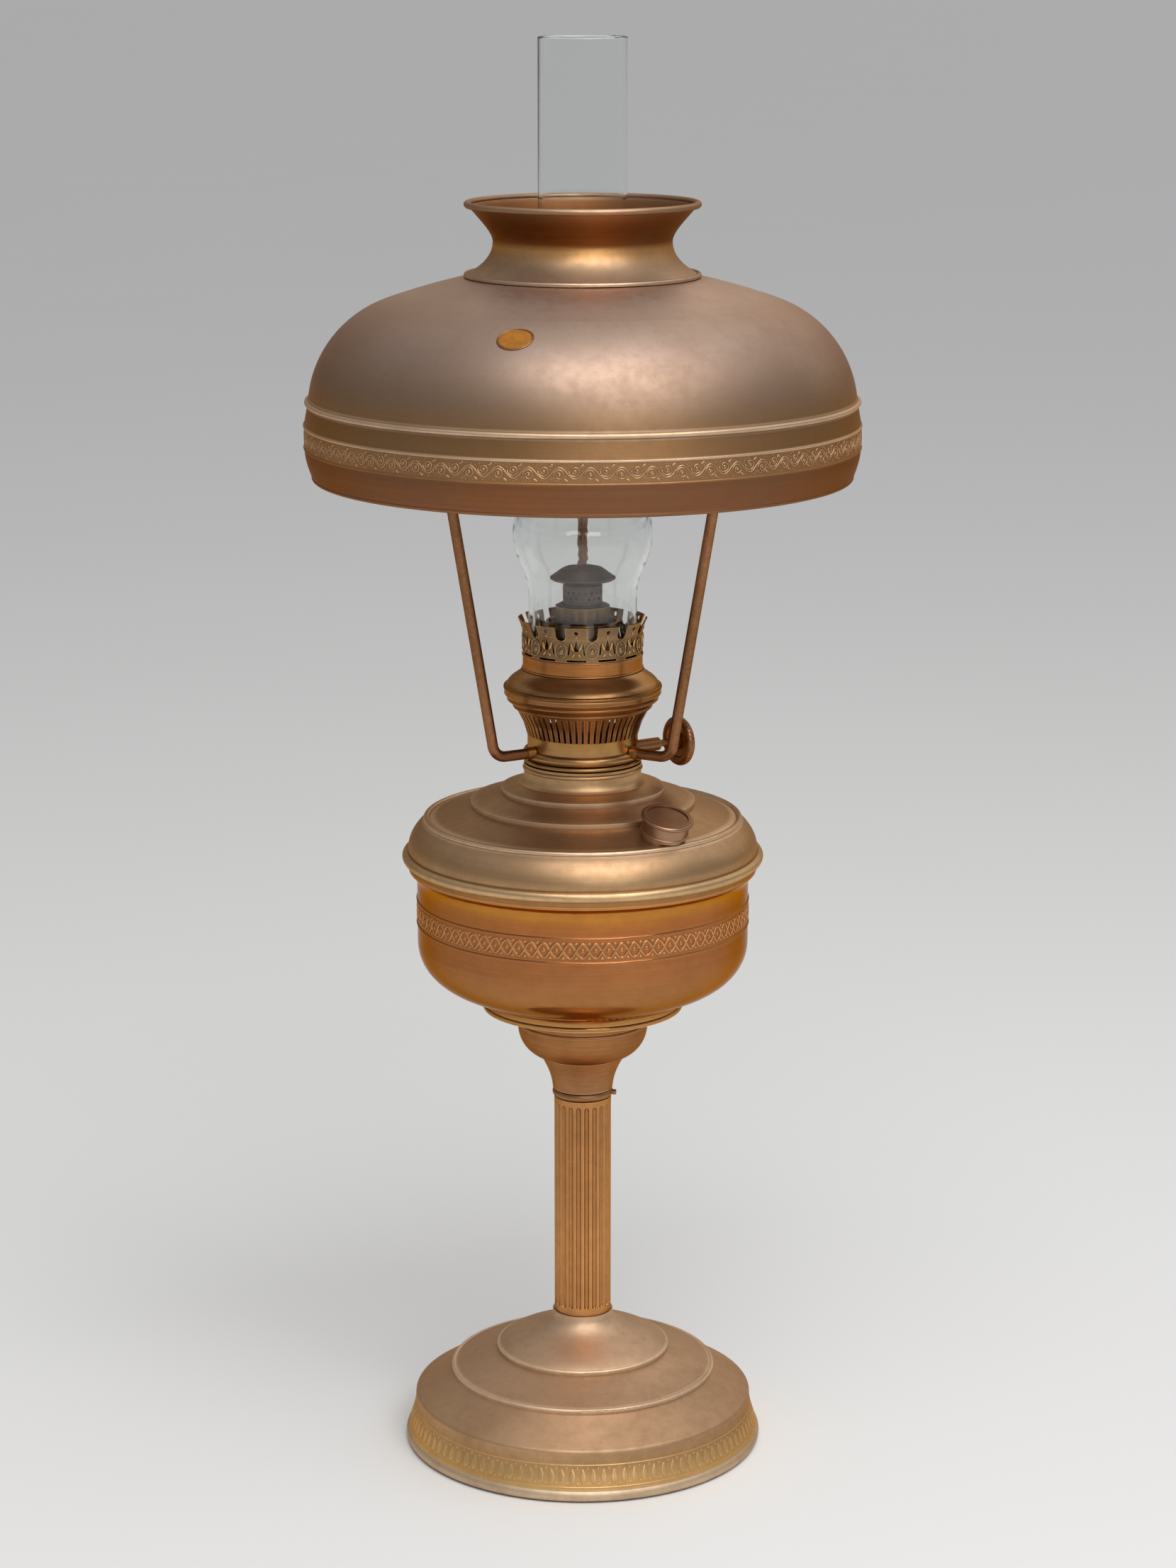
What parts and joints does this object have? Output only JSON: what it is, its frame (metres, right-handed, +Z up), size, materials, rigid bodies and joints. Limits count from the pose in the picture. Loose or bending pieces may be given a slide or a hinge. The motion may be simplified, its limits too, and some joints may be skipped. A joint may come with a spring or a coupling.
{
  "type": "kerosene table lamp",
  "caption": "Tall brass kerosene table lamp with fluted column, round font, screw-in round-wick burner with feed knob, bulged glass chimney and a domed metal shade on a tripod.",
  "frame": {"origin": "centre of the foot's underside, on the lamp's axis", "axes": "+Z up along the lamp's axis, front of the lamp towards -Y, wick knob towards +X"},
  "size_m": [0.2678, 0.2678, 0.699],
  "materials": {
    "satin_brass": "satin spun brass, aged",
    "bright_brass": "polished brass, aged",
    "column_brass": "satin brass, dark in the flutes",
    "burner_brass": "polished brass with heat tint",
    "arm_copper": "coppery brown drawn rod",
    "sooted_brass": "heat-darkened brass",
    "shade_brass": "matte patinated brass",
    "chimney_glass": "clear",
    "wick_cotton": "woven cotton",
    "seal_leather": "oiled leather",
    "ballast_iron": "raw casting",
    "rod_steel": "plain"
  },
  "bodies": {
    "stand": {"foot_shell": "satin_brass", "foot_ballast": "ballast_iron", "tie_rod": "rod_steel", "tie_rod_nuts": "rod_steel", "tie_rod_washers": "rod_steel", "column": "column_brass", "column_ring": "satin_brass", "capital": "satin_brass", "font_cup": "satin_brass", "font_bowl": "bright_brass", "font_top": "satin_brass", "font_crown": "satin_brass", "font_collar": "satin_brass", "filler_neck": "satin_brass"},
    "cap_washer": {"filler_washer": "seal_leather"},
    "cap": {"filler_cap": "satin_brass"},
    "thread_ring": {"burner_thread_ring": "burner_brass"},
    "burner": {"burner_floor": "burner_brass", "tripod_ring": "burner_brass", "tripod_arm_left": "arm_copper", "tripod_arm_right": "arm_copper", "tripod_arm_back": "arm_copper", "shade_ring": "arm_copper", "burner_basket": "burner_brass", "burner_dome": "burner_brass", "gallery": "burner_brass", "air_deflector": "burner_brass", "outer_wick_tube": "burner_brass", "inner_draft_tube": "burner_brass", "spindle_tube": "burner_brass"},
    "wick_body": {"wick": "wick_cotton"},
    "feed": {"wick_spindle": "arm_copper", "feed_wheels": "arm_copper", "wick_knob": "arm_copper"},
    "spreader": {"spreader_thimble": "sooted_brass", "spreader_pin": "sooted_brass", "spreader_disc": "sooted_brass"},
    "glass": {"chimney": "chimney_glass"},
    "shade": {"shade_skirt": "shade_brass", "shade_shoulder": "shade_brass", "shade_dome": "shade_brass", "shade_neck": "shade_brass", "shade_flare": "shade_brass"}
  },
  "joints": [
    {"name": "burner_rise", "type": "slide", "parent": "stand", "child": "thread_ring", "axis": [0, 0, 1], "range_m": [0, 0.0052]},
    {"name": "burner_turn", "type": "hinge", "parent": "thread_ring", "child": "burner", "pos_m": [0, 0, 0.352], "axis": [0, 0, 1], "range_deg": [0, 900]},
    {"name": "cap_rise", "type": "slide", "parent": "stand", "child": "cap_washer", "axis": [0.1711, -0.2443, 0.9545], "range_m": [0, 0.0046]},
    {"name": "cap_turn", "type": "hinge", "parent": "cap_washer", "child": "cap", "pos_m": [0.03872, -0.05529, 0.32779], "axis": [0.1711, -0.2443, 0.9545], "range_deg": [0, 1080]},
    {"name": "wick_knob_turn", "type": "hinge", "parent": "burner", "child": "feed", "pos_m": [0.00926, -0.01426, 0.3589], "axis": [0.8387, 0.5446, 0], "range_deg": [-120, 60]},
    {"name": "wick_feed", "type": "slide", "parent": "burner", "child": "wick_body", "axis": [0, 0, 1], "range_m": [-0.01, 0.005]},
    {"name": "spreader_lift", "type": "slide", "parent": "burner", "child": "spreader", "axis": [0, 0, 1], "range_m": [0, 0.06]},
    {"name": "chimney_lift", "type": "slide", "parent": "burner", "child": "glass", "axis": [0, 0, 1], "range_m": [0, 0.24]},
    {"name": "shade_lift", "type": "slide", "parent": "burner", "child": "shade", "axis": [0, 0, 1], "range_m": [0, 0.22]}
  ],
  "couplings": [
    {"joint": "burner_rise", "follows": "burner_turn", "m_per_rad": 0.00031831},
    {"joint": "cap_rise", "follows": "cap_turn", "m_per_rad": 0.00023873},
    {"joint": "wick_feed", "follows": "wick_knob_turn", "m_per_rad": 0.0046}
  ]
}
